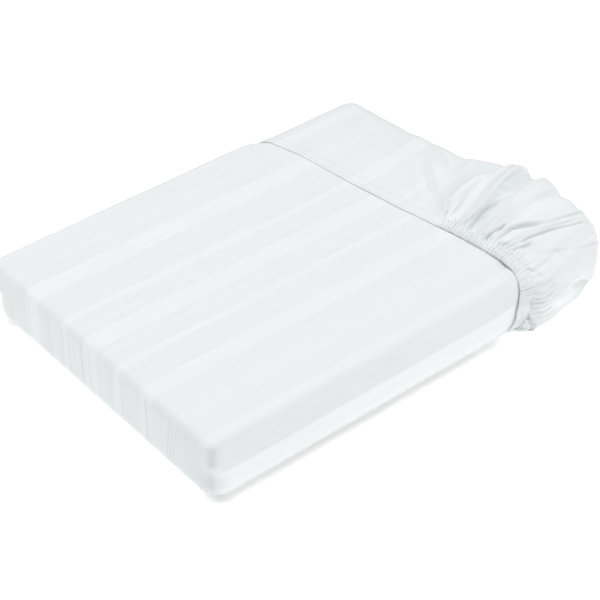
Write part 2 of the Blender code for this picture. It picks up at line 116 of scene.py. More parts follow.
# Creases of the turned end. A point's run is its way along the hem, as above but measured on the
# cloth, and its off is its distance in from the hem's edge. Hollow ones are sharp folds, steep on the
# side that comes first along the hem and easy on the other, and raised ones are round.
CREASES = (
    # lift mm, half width mm, then run mm, off mm of each point
    (1.5, 2.6, (37.3, 15.4), (40.2, 20.3), (40.9, 27.2), (42.4, 35.1),
     (44.6, 45.9), (48.4, 60.7), (51.4, 66)),
    (2, 1.7, (59.7, 8.6), (62.9, 18.5), (63.7, 26.5), (63.7, 36.5),
     (62.9, 44.5), (61.5, 57.9), (60.5, 75.8)),
    (-1.8, 1, (67.3, 7.3), (67.3, 17.3), (67.2, 25.3), (69.9, 33.2), (73, 38.1), (74, 48.6)),
    (-0.9, 1.2, (64.5, 41.4), (66.1, 43.4), (70, 49.8), (72.5, 58.8), (74, 73.5)),
    (-1.4, 1, (79.8, 41.8), (79, 51.8), (78.8, 62.1), (79.5, 75.7)),
    (1, 2.2, (73.5, 11.1), (75, 22), (77.5, 35.9), (77, 46.2)),
    (0.9, 1.8, (84.6, 9.8), (85, 15.8), (87, 22.7), (89, 31.7)),
    (-2.2, 1, (90, 5.7), (88, 11.7), (89.6, 21.7), (92.4, 28.7),
     (95.5, 36.6), (99.2, 43.6), (101, 57.5), (101, 92)),
    (-2.2, 0.8, (81.8, 5.8), (82.2, 12.8), (83.3, 17.8), (86, 25.7)),
    (1, 1.8, (93.5, 8.7), (94, 15.7), (97, 25.6), (100.5, 34.7), (104, 46.5), (107, 64.7)),
    (-1.6, 0.8, (96.8, 5.6), (98.5, 11.6), (102.3, 22), (105.5, 32.5),
     (107.2, 39.8), (111.3, 50.9), (122, 88)),
    (0.7, 1.5, (101, 8.8), (103, 16.1), (106, 24.6), (109, 33.1)),
    (-1.2, 0.8, (103.3, 7.1), (104.7, 15.4), (106.6, 20.7), (111, 24.9), (114, 27.3)),
    (-1, 0.8, (113, 18.7), (118.8, 26), (122.3, 33), (129.7, 49.5), (134.4, 62.7), (140, 80)),
    (1.2, 0.8, (139.2, 72.9), (140.2, 79)),
    (-0.8, 1.4, (122, 31.9), (128.5, 36.3), (135.6, 41.1), (142, 45.2)),
    (-1.1, 0.8, (121, 8.3), (123, 10.9), (126, 13.8), (131, 14.1)),
    (-0.8, 1.6, (134.5, 18.4), (139.5, 24.3)),
    (-0.8, 1.1, (141, 13.2), (147.5, 26.4), (150.5, 34.5), (158.3, 41.8), (164, 48.8)),
    (-0.9, 1, (142.6, 7.7), (146.5, 13.3), (152.9, 22.8), (160, 33)),
    (-1.4, 0.7, (144, 7.1), (147, 8.3), (152.4, 9.5), (156, 12.3)),
    (-0.8, 1.1, (146, 10), (153.4, 12.9), (159, 12.4)),
    (-3, 1.3, (151.5, 44.7), (154.5, 54.9), (156.5, 62.2), (158.5, 67.4), (162, 74.8)),
    (-2.1, 0.8, (155, 7.7), (161.2, 6.9), (171, 7.3)),
    (-2.1, 0.8, (157, 7.3), (161.9, 10.8), (168.8, 16.6), (175.2, 18.6), (174.1, 11.3), (170, 4)),
    (-2, 2.6, (8, 46), (23.1, 24.8), (28.4, 20.5), (35, 12.6)),
    (1, 3, (20, 49.4), (28, 34.9), (34, 22.6)),
    (-1.7, 0.9, (41, 20.3), (43.5, 15), (45.2, 9.5)),
    (-1.3, 0.8, (40.5, 13.5), (46.2, 8.5)),
    (-2, 3, (25, 62.5), (32.1, 48.3), (37.5, 34.4)),
)
STEEP_SIDE = 0.7  # widths of a hollow crease's two sides, against its half width
EASY_SIDE = 1.9
HOLLOW_POWER = 1.3  # 2 is a round hollow, and less a sharper one
LIP_PLACE = 2.2  # the small lip on the steep side, against the half width
LIP_WIDTH = 1.1
LIP_SHARE = 0.25
CREASE_IN = (-0.05, 0.12)  # shares of a crease's way over which it rises and fades
CREASE_OUT = (0.75, 1.0)


def mix(a, b, part):
    return a + (b - a) * part


def share_of(value, start, end):
    """How far a value has come from start to end, from 0 to 1."""
    return min(1.0, max(0.0, (value - start) / (end - start)))


def smooth(value, start, end):
    """0 before start, 1 after end, and an even S between them."""
    part = share_of(value, start, end)
    return part * part * (3 - 2 * part)


def smooth_all(values, start, end):
    """The same for an array."""
    part = np.clip((values - start) / (end - start), 0.0, 1.0)
    return part * part * (3 - 2 * part)


def read_table(table, at):
    """A table's second column at a value of its first, in metres, eased from row to row."""
    rows = sorted((first * MM, second * MM) for first, second in table)
    if at <= rows[0][0]:
        return rows[0][1]
    for (start, low), (end, high) in zip(rows, rows[1:]):
        if at <= end:
            return mix(low, high, smooth(at, start, end))
    return rows[-1][1]


def even(start, end, count):
    return [mix(start, end, i / count) for i in range(count + 1)]


def spaced(start, end, pitch):
    return even(start, end, max(1, round(abs(end - start) / pitch)))


def closest(values, at):
    """Which of the values is nearest to this one."""
    return min(range(len(values)), key=lambda i: abs(values[i] - at))


def turn_parts(count):
    """How far along a sharp edge's last radius each of these lines lies, from 1 down to 0."""
    return [math.tan(math.radians(45) * (1 - i / count)) for i in range(count + 1)]


def edge_steps(edge, inward, radius, count):
    """Lines that a rounded box turns into the half of one round edge."""
    return [edge + inward * radius * (1 - part) for part in turn_parts(count)]


def rounded(point, low, high, radius, power=ROUND):
    """A point on a sharp box moved on to the same box with round edges, and the way out there."""
    core = Vector([min(max(p, a + radius), b - radius) for p, a, b in zip(point, low, high)])
    out = Vector(point) - core
    size = sum(abs(part) ** power for part in out) ** (1 / power)
    return core + out * (radius / size), out.normalized()


WRAP, TURNED, PLIES = range(3)  # which part of the cloth a point belongs to
PLAIN = {"relief": 0.0, "run": 0.0, "off": 1.0}  # what a place has if it doesn't say
WELD = 0.01 * MM


class Cloth:
    """The cloth's middle surface, patch by patch, with what each point needs later on."""

    def __init__(self):
        self.mesh = bmesh.new()
        self.part = self.mesh.verts.layers.int.new("part")
        self.sizes = {name: self.mesh.verts.layers.float.new(name) for name in PLAIN}
        self.cloth_uv = self.mesh.loops.layers.uv.new("cloth")
        self.hem_uv = self.mesh.loops.layers.uv.new("hem")

    def vert(self, place, part):
        place = PLAIN | place
        corner = self.mesh.verts.new(place["at"])
        corner[self.part] = part
        for name, layer in self.sizes.items():
            corner[layer] = place[name]
        return corner, place

    def fill(self, corners, part):
        made = self.mesh.faces.new([corner for corner, _ in corners])
        made.material_index = 1 if part == TURNED else 0
        made.smooth = True
        for loop, (_, place) in zip(made.loops, corners):
            loop[self.cloth_uv].uv = place["uv"] if "uv" in place else (place["across"], place["off"])
            loop[self.hem_uv].uv = (place["run"], place["off"])

    def patch(self, rows, part):
        """Quads between neighbouring rows of places."""
        rows = [[self.vert(place, part) for place in row] for row in rows]
        for row, below in zip(rows, rows[1:]):
            for corners in zip(row, row[1:], below[1:], below):
                self.fill(corners, part)

    def strip(self, fine, coarse, picks, part):
        """Faces between a line of many points and one of few; picks says where the few ones meet it."""
        for i, (a, b) in enumerate(zip(picks, picks[1:])):
            places = [coarse[i], coarse[i + 1]] + fine[a : b + 1][::-1]
            self.fill([self.vert(place, part) for place in places], part)

    def join(self):
        """Patches become one cloth where they meet, and all its faces look the same way."""
        bmesh.ops.remove_doubles(self.mesh, verts=self.mesh.verts, dist=WELD)
        bmesh.ops.recalc_face_normals(self.mesh, faces=self.mesh.faces)
        self.mesh.normal_update()

    def raise_relief(self):
        """Each point moves out along its normal by the relief at its place."""
        verts = list(self.mesh.verts)
        at = np.array([v.co for v in verts])
        out = np.array([v.normal for v in verts])
        turned = np.array([v[self.part] == TURNED for v in verts])
        relief, run, off = (np.array([v[layer] for v in verts]) for layer in self.sizes.values())
        flip = self.outward_sign(verts)
        lift = np.where(turned, turned_relief(at, out * flip, run, off), soft_play(at, *WRAP_PLAY))
        moved = at + out * (flip * lift * relief)[:, None]
        for v, place in zip(verts, moved):
            v.co = place

    def outward_sign(self, verts):
        """1 if the outer cloth's normals look out of the pack, -1 if they look in."""
        middle = Vector((0, 0, PACK_HEIGHT / 2))
        relief = self.sizes["relief"]
        total = sum((v.co - middle).dot(v.normal) for v in verts if v[relief] > 0.5)
        return 1.0 if total > 0 else -1.0


# --- Relief ---

RIB_PITCH = 2.6 * MM
RIB_DRIFT = 11 * MM  # way along the hem over which the ribs drift
RIB_STRAY = 0.9  # and how many pitches they drift
RIB_LEAN = 0.35
RIB_DEPTH = 2.1 * MM
RIB_PLAY = 0.7  # how much the ribs differ in depth and in reach
REACH_PLAY = 0.9
RIB_REACH = 14 * MM
RIB_FADE = (-5 * MM, 3 * MM)  # round a rib's reach
SIDE_CUT = 0.35  # share of their reach that ribs lose where the hem runs down the side
SIDE_RUN = (115 * MM, 132 * MM)
RIB_ROUND = 0.6  # 1 is a half sine, and less a broader rib with a narrower slit
RIB_SINK = 0.35  # share of the depth that lies below the cloth's own level
EDGE_SHARE = 0.55  # of the depth, at the hem's very edge
EDGE_RUN = 2 * MM
RIB_SHARE = (
    # run mm, share of the depth
    (38, 0.3), (46, 0.7), (60, 0.9), (75, 1.1), (110, 1), (122, 0.75), (138, 0.55), (148, 0.35),
    (175, 0.2),
)
HEM_STEP = 0.45 * MM
HEM_STEP_END = (0.3 * MM, 1.6 * MM)  # past the seam
HEM_SEAM = 8.6 * MM
HEM_DIP = 0.5 * MM
HEM_DIP_WIDTH = 0.6 * MM
HEM_LIP = 0.25 * MM
HEM_LIP_PLACE = 0.9 * MM
HEM_LIP_WIDTH = 0.8 * MM
HEM_STRETCHED = 0.5  # share of the hem's own relief that is lost in the gathers
NECK_DEPTH = 0.4 * MM
NECK_WIDTH = 1.4 * MM
FACING_UP = (0.2, 0.8)
WAVE_DRIFT = 1.4
WAVE_HEIGHT = 0.75
WAVE_PLAY = 0.6
GATHERS = (
    # height mm, pitch mm, wander mm, row of noise, then mm in from the edge: starts, full, fades, gone
    (0.5, 4.7, 20, 9.4, 7, 12, 20, 34),
    (0.3, 10.5, 30, 5.2, 10, 20, 34, 60),
)
TURNED_PLAY = (0.25 * MM, 26 * MM)  # height and size of the cloth's unevenness
WRAP_PLAY = (0.35 * MM, 45 * MM)


def bell(values, middle, width):
    return np.exp(-(((values - middle) / width) ** 2))


def noise_along(values, *row):
    """Noise along a line, which the other two numbers pick."""
    return np.array([noise.noise(Vector((v, *row))) for v in values])


def wave(values, pitch, wander, row):
    """An uneven wave of about this pitch: its crests drift, and their heights differ."""
    drift = WAVE_DRIFT * noise_along(values / wander, row, 0.3)
    height = WAVE_HEIGHT + WAVE_PLAY * noise_along(values / (2 * pitch), row + 7.7, 1.1)
    return np.sin(2 * math.pi * (values / pitch + drift)) * height


def crease_lift(flat):
    """The lift of creases at places given as (run, off)."""
    lift = np.zeros(len(flat))
    for height, width, *points in CREASES:
        width *= MM
        line = [np.array(point, float) * MM for point in points]
        lengths = [np.linalg.norm(b - a) for a, b in zip(line, line[1:])]
        nearest = np.full(len(flat), 1.0)
        along = np.zeros(len(flat))
        later = np.zeros(len(flat), bool)
        before = 0.0
        for a, b, length in zip(line, line[1:], lengths):
            part = np.clip((flat - a) @ (b - a) / length**2, 0.0, 1.0)
            gap = np.linalg.norm(flat - a - part[:, None] * (b - a), axis=1)
            closer = gap < nearest
            nearest = np.where(closer, gap, nearest)
            later = np.where(closer, flat[:, 0] > a[0] + part * (b - a)[0], later)
            along = np.where(closer, (before + part * length) / sum(lengths), along)
            before += length
        fade = smooth_all(along, *CREASE_IN) * (1 - smooth_all(along, *CREASE_OUT))
        if height > 0:
            shape = bell(nearest, 0.0, width)
        else:
            side = np.where(later, EASY_SIDE, STEEP_SIDE) * width
            shape = np.exp(-((nearest / side) ** HOLLOW_POWER))
            shape -= LIP_SHARE * bell(nearest, LIP_PLACE * width, LIP_WIDTH * width) * ~later
        lift += height * MM * fade * shape
    return lift


def ribs(run, off, up):
    """Narrow ribs of the elastic band: round tops, sharp slits, each a little different."""
    leaning = run + RIB_LEAN * off * up
    phase = leaning / RIB_PITCH + RIB_STRAY * noise_along(leaning / RIB_DRIFT, 3.1, 0.3)
    number = np.floor(phase)
    strength = 1 + RIB_PLAY * noise_along(number * 1.7, 5.3, 0.1)
    reach = 1 + REACH_PLAY * noise_along(number * 2.3, 9.1, 0.7)
    reach *= RIB_REACH * (1 - SIDE_CUT * smooth_all(run, *SIDE_RUN))
    crest = np.abs(np.sin(math.pi * phase)) ** RIB_ROUND - RIB_SINK
    edge = mix(EDGE_SHARE, 1.0, smooth_all(off, 0.0, EDGE_RUN))
    behind = 1 - smooth_all(off, reach + RIB_FADE[0], reach + RIB_FADE[1])
    share = np.interp(run / MM, *zip(*RIB_SHARE))
    return RIB_DEPTH * share * strength * crest * edge * behind


def hem_relief(off):
    """The folded hem is thicker than the cloth behind it, and its seam sinks in."""
    thick = HEM_STEP * (1 - smooth_all(off - HEM_SEAM, *HEM_STEP_END))
    lip = HEM_LIP * bell(off, HEM_LIP_PLACE, HEM_LIP_WIDTH)
    return thick + lip - HEM_DIP * bell(off, HEM_SEAM, HEM_DIP_WIDTH)


def turned_relief(at, out, run, off):
    """The hem, the ribs and gathers of its elastic stretch, and the creases of the pouch."""
    gathered = smooth_all(run, *ELASTIC_RUN)
    up = smooth_all(out[:, 2], *FACING_UP)
    lift = ribs(run, off, up) - NECK_DEPTH * bell(off, BAND, NECK_WIDTH)
    for height, pitch, wander, row, *reach in GATHERS:
        start, full, fade, gone = (way * MM for way in reach)
        share = smooth_all(off, start, full) * (1 - smooth_all(off, fade, gone))
        lift += height * MM * wave(run, pitch * MM, wander * MM, row) * share
    lift = gathered * lift + (1 - HEM_STRETCHED * gathered) * hem_relief(off)
    return lift + crease_lift(np.stack([run, off], axis=1)) + soft_play(at, *TURNED_PLAY)


def soft_play(at, height, size):
    """The slight unevenness of soft cloth."""
    return height * np.array([noise.noise(Vector(place) / size) for place in at])


# --- The hem line ---


def hem_y(x):
    return float(np.interp(x / MM, *zip(*HEM_ON_TOP))) * MM


def hem_side_y(z):
    return read_table(HEM_ON_SIDE, z)


def hem_line(x, z):
    """The y of the hem's edge, over the top and down both sides."""
    drop = hem_side_y(z) - hem_side_y(WRAP_TOP) if x > 0 else 0.0
    return hem_y(x) + drop


# --- The wrap and the bottom ---

TURN = 6  # steps round half an edge
WRAP_PITCH = 4.6 * MM
WRAP_ROWS = (46, 8, 4)  # up to the tucks, on them, and under the flap
BOTTOM_ROWS = 8
UNDER_FLAP_RUN = 1.4 * TUCK_RUN
FOOT_IN = (RIGHT_LIFT_RUN[0], RIGHT_LIFT_RUN[0] + 16 * MM)
FOOT_OUT = (90 * MM, 114 * MM)
FOOT_SIDE = 92 * MM


def lines_between(low, high):
    """The wrap's lines from one round edge to the other."""
    flat = spaced(low + WRAP_RADIUS, high - WRAP_RADIUS, WRAP_PITCH)[1:-1]
    return edge_steps(low, 1, WRAP_RADIUS, TURN) + flat + edge_steps(high, -1, WRAP_RADIUS, TURN)[::-1]


WRAP_COLUMNS = lines_between(-WRAP_X, WRAP_X)
WRAP_HEIGHTS = lines_between(FLOOR, WRAP_TOP)
FLAT_COLUMNS = WRAP_COLUMNS[TURN:-TURN]


def wrap_rows(x, z):
    """The y of each row of the wrap; the rows bend to run along the hem where they reach it."""
    rows = edge_steps(WRAP_NEAR, 1, WRAP_RADIUS, TURN)
    hem = hem_line(x, z)
    stops = (rows[-1], hem - TUCK_RUN, hem, WRAP_END)
    for start, end, count in zip(stops, stops[1:], WRAP_ROWS):
        rows += even(start, end, count)[1:]
    return rows


def wrap_arc(x, z):
    """The distance across the cloth from the middle of the top, over the edge and down the wall."""
    flat = WRAP_X - WRAP_RADIUS
    if abs(x) < WRAP_X:
        angle = math.atan(max(0.0, abs(x) - flat) / WRAP_RADIUS)
        way = min(abs(x), flat) + angle * WRAP_RADIUS
    else:
        part = min(1.0, max(0.0, (z - WRAP_TOP + WRAP_RADIUS) / WRAP_RADIUS))
        angle = math.pi / 2 - math.atan(part)
        way = flat + angle * WRAP_RADIUS + max(0.0, WRAP_TOP - WRAP_RADIUS - z)
    return math.copysign(way, x)


def share_up(z):
    return (z - FLOOR) / (WRAP_TOP - FLOOR)


def wrap_point(x, y, z, height=None):
    """A place on the wrap, from its place on the sharp box."""
    hem = hem_line(x, z)
    way = x + max(0.0, WRAP_TOP - z) if x > 0 else x
    drawn = read_table(TUCKS, way) * smooth(y, hem - TUCK_RUN, hem)
    side = WRAP_X - drawn
    top = WRAP_TOP - drawn
    level = mix(FLOOR, top, share_up(z if height is None else height))
    under_flap = smooth(y, hem - UNDER_FLAP_RUN, hem)
    power = mix(TOP_EDGE_POWER, RIGHT_EDGE_POWER if x > 0 else ROUND, under_flap)
    power = mix(ROUND, power, smooth(level, WRAP_TOP - 1.5 * WRAP_RADIUS, WRAP_TOP - WRAP_RADIUS))
    low = (-side, WRAP_NEAR, FLOOR)
    at, _ = rounded((x * side / WRAP_X, y, level), low, (side, PACK_LENGTH, top), WRAP_RADIUS, power)
    along = y if y > WRAP_NEAR else WRAP_NEAR - (WRAP_TOP - z)
    return {"at": at, "uv": (wrap_arc(x, z), along), "relief": 1.0}


def left_height(y, z):
    lift = smooth(y, *LEFT_LIFT_RUN)
    return mix(mix(FLOOR, WRAP_TOP - LEFT_LIFT_DROP, lift), WRAP_TOP, share_up(z))


def right_height(y, z):
    lift = smooth(y, *RIGHT_LIFT_RUN)
    return mix(FLOOR + RIGHT_LIFT * lift, WRAP_TOP, share_up(z))


def foot_lift(x, y):
    """The gathered corner holds its hem's foot, and the bottom beside it, a little off the floor."""
    share = smooth(y, *FOOT_IN) * (1 - smooth(y, *FOOT_OUT))
    return HEM_FOOT_LIFT * share * smooth(x, FOOT_SIDE, CAP_INNER_X)


def bottom_end(x):
    return mix(HEM_LEFT_Y, hem_side_y(0), smooth(x, -CAP_X, CAP_X))


def bottom_point(x, part):
    """A place on the flat bottom, from the near round edge (0) to the turn-over (1)."""
    half = mix(FLAT_COLUMNS[-1], CAP_INNER_X, part) + BOTTOM_FLARE * math.sin(math.pi * part)
    place = x / FLAT_COLUMNS[-1]
    join = bottom_end(place * CAP_INNER_X) + HEM_ROLL[-1][0] * MM
    y = mix(WRAP_NEAR + WRAP_RADIUS, join, part)
    x = place * half
    return {"at": Vector((x, y, FLOOR + foot_lift(x, y))), "uv": (x, y)}


def build_wrap(cloth):
    columns = [[wrap_point(x, y, WRAP_TOP) for y in wrap_rows(x, WRAP_TOP)] for x in WRAP_COLUMNS]
    cloth.patch(list(zip(*columns)), WRAP)
    near = []
    for z in WRAP_HEIGHTS:
        line = [wrap_point(x, WRAP_NEAR, z) for x in WRAP_COLUMNS]
        for x, place in zip(WRAP_COLUMNS, line):
            place["uv"] = (wrap_arc(x, WRAP_TOP), place["uv"][1])
        near.append(line)
    cloth.patch(near, WRAP)
    for x, height in ((WRAP_X, right_height), (-WRAP_X, left_height)):
        wall = []
        for z in WRAP_HEIGHTS:
            wall.append([wrap_point(x, y, z, height(y, z)) for y in wrap_rows(x, z)])
        cloth.patch(wall, WRAP)
    under = []
    for y in edge_steps(WRAP_NEAR, 1, WRAP_RADIUS, TURN):
        under.append([wrap_point(x, y, FLOOR) | {"relief": 0.0} for x in FLAT_COLUMNS])
    cloth.patch(under, WRAP)
    parts = even(0, 1, BOTTOM_ROWS)
    cloth.patch([[bottom_point(x, part) for x in FLAT_COLUMNS] for part in parts], WRAP)


# --- The plies inside ---

INNER_LAYERS = 11  # folds of the solid
LAYER_PLIES = (
    # off each fold's middle mm (the first one lies outside at the left), steps round a fold
    (1.24, 8), (0.62, 4), (0, 4), (-0.62, 4), (-1.24, 4),
)
STACK_GAP = 2.8 * MM  # between the wrap and the plies
STACK_FLOOR = SOLID_CLOTH / 2
STACK_TOP = PACK_HEIGHT - STACK_FLOOR - STACK_GAP
PITCH = (STACK_TOP - STACK_FLOOR) / (INNER_LAYERS + 1)
SOLID_RADIUS = EDGE_RADIUS - SOLID_CLOTH / 2
STACK_RADIUS = SOLID_RADIUS - SOLID_CLOTH - 1.0 * MM
STACK_CORE = PACK_WIDTH / 2 - SOLID_CLOTH / 2 - STACK_GAP - SOLID_RADIUS
PLY_ROWS = 20
PLY_STEPS = (0, 0.1, 0.5, 0.9)
PLY_STAGGER = 0.5 * MM
BEND_DEPTH = 1.1  # of a fold's bend, against its radius
BEND_REACH = BEND_DEPTH * PITCH / 2
STACK_BULGE = 3.0 * MM  # of the lower folds at the open left side
BULGE_IN = (LEFT_LIFT_RUN[1] - 20 * MM, LEFT_LIFT_RUN[1] + 30 * MM)
BULGE_OUT = (HEM_LEFT_Y - 45 * MM, HEM_LEFT_Y - 8 * MM)
BULGE_TOP = (PACK_HEIGHT / 2 - 5 * MM, PACK_HEIGHT / 2 + 5 * MM)
FOLD_PLAY = 0.9 * MM
FOLD_WANDER = 60 * MM
FAR_GAP = 4 * MM
FAR_REACH = 0.8
TURN_STEPS = 5
TURN_REACH = 3 * MM
TURN_SEAM = 1 * MM
STRIPE_REPEAT = 0.26


def layer_height(layer):
    return STACK_TOP - layer * PITCH


def room(z, x=0.0):
    """How far the wrap's round edges let a layer reach past the edge's middle at this place."""
    above = z - (STACK_TOP - SOLID_RADIUS)
    below = STACK_FLOOR + SOLID_RADIUS - z
    aside = abs(x) - STACK_CORE
    left = STACK_RADIUS**2 - max(above, below, 0.0) ** 2 - max(aside, 0.0) ** 2
    return math.sqrt(max(0.0, left))


def layer_y(layer, x, part):
    reach = room(layer_height(layer), x)
    near = WRAP_NEAR + SOLID_RADIUS - reach
    far = WRAP_END - FAR_GAP + FAR_REACH * reach * (layer > 1)
    return mix(near, far, part)


def fold_side(layer, y, side):
    """Where the fold below a layer starts to turn."""
    reach = min(room(layer_height(layer)), room(layer_height(layer + 1)))
    play = FOLD_PLAY * noise.noise(Vector((layer * 1.7, y / FOLD_WANDER, side * 2.0)))
    out = 0.0
    if side < 0:
        out = STACK_BULGE * smooth(y, *BULGE_IN) * (1 - smooth(y, *BULGE_OUT))
        out *= 1 - smooth(layer_height(layer), *BULGE_TOP)
        out *= reach / STACK_RADIUS
    return side * (STACK_CORE + max(0.0, reach - BEND_REACH - FOLD_PLAY + play) + out)


def ply_line(part, off, first, steps):
    """One ply's line across the pack through all its folds: (x, z, layer) from end to end."""
    y = mix(WRAP_NEAR, WRAP_END, part)
    points = []
    for layer in range(1, INNER_LAYERS + 1):
        side = -1 if layer % 2 else 1
        lift = -side * off
        z = layer_height(layer) + lift
        start = fold_side(layer - 1, y, -side) if layer > 1 else -side * first
        end = fold_side(layer, y, side)
        points += [(mix(start, end, u), z, layer) for u in PLY_STEPS]
        if layer == INNER_LAYERS:
            points.append((end, z, layer))
            continue
        radius = PITCH / 2 + lift
        middle = layer_height(layer + 0.5)
        for step in range(steps + 1):
            angle = math.pi * step / steps
            x = end + side * BEND_DEPTH * radius * math.sin(angle)
            points.append((x, middle + radius * math.cos(angle), layer + step / steps))
    return points


def build_plies(cloth):
    """All plies of the folded stack as one strip that runs back and forth through the folds."""
    rows = []
    for part in even(0, 1, PLY_ROWS):
        line = []
        for number, (off, steps) in enumerate(LAYER_PLIES):
            run = ply_line(part, off * MM, STACK_CORE - number * PLY_STAGGER, steps)
            line += run if number % 2 == 0 else run[::-1]
        places = []
        across = 0.0
        for i, (x, z, layer) in enumerate(line):
            if i:
                across += math.hypot(x - line[i - 1][0], z - line[i - 1][1])
            y = layer_y(layer, x, part)
            repeat = across % STRIPE_REPEAT - STRIPE_REPEAT / 2
            places.append({"at": Vector((x, y, z)), "uv": (repeat, y)})
        rows.append(places)
    cloth.patch(rows, PLIES)
    build_turn(cloth, rows[-1][len(PLY_STEPS) :: -1])


def build_turn(cloth, ply):
    """The wrap's top turns down at its far end and back into the uppermost ply."""
    inner = ply[0]["at"]
    lines = []
    for part in even(0, 1, TURN_STEPS):
        line = []
        for x in FLAT_COLUMNS:
            outer = wrap_point(x, WRAP_END, WRAP_TOP)["at"]
            z = mix(outer.z, inner.z, (1 - math.cos(math.pi * part)) / 2)
            y = mix(WRAP_END, inner.y + TURN_SEAM, part) + TURN_REACH * math.sin(math.pi * part)
            line.append({"at": Vector((outer.x, y, z)), "uv": (x, y)})
        lines.append(line)
    cloth.patch(lines, PLIES)
    picks = [closest(FLAT_COLUMNS, place["at"].x) for place in ply]
    picks[0], picks[-1] = 0, len(FLAT_COLUMNS) - 1
    cloth.strip(lines[-1], ply, picks, PLIES)


# --- The turn-over and its pouch ---

CAP_INNER_X = CAP_X - CAP_RADIUS
RIM_BLUR = 11 * MM  # the rim's ridges and valleys are evened out this far, away from the rim
FLAP_PITCH = 3.4 * MM
PLEAT_PITCH = 0.74 * MM
SPLIT = 2  # fine lines to each plain one in the gathered band
# The hem's turned edge, in from the edge and below the outer face
HEM_ROLL = (
    # in mm, below mm
    (9, 0.9), (4, 0.9), (0.45, 0.9), (0.13, 0.77), (0, 0.45), (0.13, 0.13), (0.45, 0),
)
HEM_FLAT = 0.15  # share of that depth where the hem isn't gathered
HEM_ROWS = (
    # mm in from the edge
    1.2, 2, 3.1, 4.4, 5.8, 7, 7.9, 8.6, 9.3, 10, 10.8, 11.8, 13, 14.3, 15.8, 17.5, 19.4, 21.6, 24.2,
)
REST_ROWS = even(0, 1, 26)[1:]
EDGE_ROW = len(HEM_ROLL) - 1
BAND_END = len(HEM_ROLL) + len(HEM_ROWS) - 1  # the last row with fine lines
FAR_TURN = 5
WALL_ROWS = 8
FINE = 2  # lines to each one of the left side, round the right side's edges
FINE_WALL = 3  # and on its wall
EDGE_STEPS = 6  # from the last pleat to the right edge
FLAT_DEPTH = 0.8 * MM  # this deep in the hem's turned edge, no relief is left
STRIPE_GATHER = (15 * MM, 60 * MM)  # where the stripes begin to follow the gathers
# Shares of the way from the hem to the far rim
PUFF_RUN = (0.05, 0.95)
RIM_RUN = (0.55, 0.95)
PLEAT_IN = (0.08, 0.3)
PLEAT_RIM = (0.5, 1.0)
SPREAD_RUN = (0.0, 1.15)
SWELL_IN = (0.02, 0.3)
SWELL_OUT = (0.45, 1.0)
SWELL_LOSS = 0.5
FOLDS_IN = (0.12, 0.3)
FOLDS_OUT = (0.9, 1.0)


def refined(line, first):
    """The line's numbers, with more of them from first on."""
    fine = list(line[: first + 1])
    for low, high in zip(line[first:], line[first + 1 :]):
        fine += even(low, high, SPLIT)[1:]
    return fine


def cap_columns():
    """(x at the hem, x at the rim, lift, lift at the rim) of each line from hem to far rim."""
    columns = [(x, x, 0.0, 0.0) for x in edge_steps(-CAP_X, 1, CAP_RADIUS, FAR_TURN)]
    left = -CAP_INNER_X
    first_hem, first_rim = (size * MM for size in PLEATS[0][:2])
    for hem in spaced(left, first_hem, FLAP_PITCH)[1:]:
        part = (hem - left) / (first_hem - left)
        columns.append((hem, mix(left, first_rim, part), 0.0, 0.0))
    first = len(columns) - 1
    for row, following in zip(PLEATS, PLEATS[1:]):
        count = round((following[0] - row[0]) * MM / PLEAT_PITCH)
        for part in even(0, 1, count)[1:]:
            hem, rim = (mix(row[i], following[i], part) * MM for i in (0, 1))
            lift, rim_lift = (mix(row[i], following[i], smooth(part, 0, 1)) * MM for i in (2, 3))
            columns.append((hem, rim, lift, rim_lift))
    last = columns[-1]
    hem_edge = edge_steps(CAP_X, -1, CAP_RADIUS, FAR_TURN * FINE)[::-1]
    rim_edge = edge_steps(CapPlace(CAP_X).side, -1, POUCH_RADIUS, FAR_TURN * FINE)[::-1]
    for part in even(0, 1, EDGE_STEPS)[1:-1]:
        hem, rim = mix(last[0], hem_edge[0], part), mix(last[1], rim_edge[0], part)
        fade = 1 - smooth(part, 0, 1)
        columns.append((hem, rim, last[2] * fade, last[3] * fade))
    columns += [(hem, rim, 0.0, 0.0) for hem, rim in zip(hem_edge, rim_edge)]
    return columns, first


@functools.lru_cache(maxsize=None)
def rim_rise(x):
    """The far rim's rise here, and its mean over the ridges and valleys beside it."""
    near = [read_table(RIM, x + step * RIM_BLUR) for step in (-1, -0.5, 0, 0.5, 1)]
    return near[2], sum(near) / len(near)


def swell_at(z, least):
    return mix(least, 1.0, smooth(z, *POUCH_RISE))


class CapPlace:
    """The rounded box that a point of the turn-over lies on, which differs from place to place."""

    def __init__(self, rim_x, part=1.0, z=None):
        share = smooth(rim_x, *POUCH_RUN)
        puff = smooth(part, *PUFF_RUN) if part < 1 else 1.0
        rise, mean_rise = rim_rise(rim_x)
        rise = mix(mean_rise, rise, smooth(part, *RIM_RUN))
        self.top = CAP_TOP + rise * math.sin(puff * math.pi / 2)
        z = self.top if z is None else z
        lean = 1 - POUCH_LEAN * smooth(z, *POUCH_LEAN_RUN)
        self.radius = mix(CAP_RADIUS, POUCH_RADIUS, share * part)
        swell = POUCH_SIDE * smooth(part, *SWELL_IN) * (1 - SWELL_LOSS * smooth(part, *SWELL_OUT))
        self.side = CAP_X + swell * swell_at(z, SIDE_FOOT_SHARE) * lean
        self.far = CAP_FAR + POUCH_BACK * share * swell_at(z, BACK_FOOT_SHARE)

    def round_off(self, point):
        low = (-CAP_X, -PACK_LENGTH, FLOOR)
        return rounded(point, low, (self.side, self.far, self.top), self.radius)


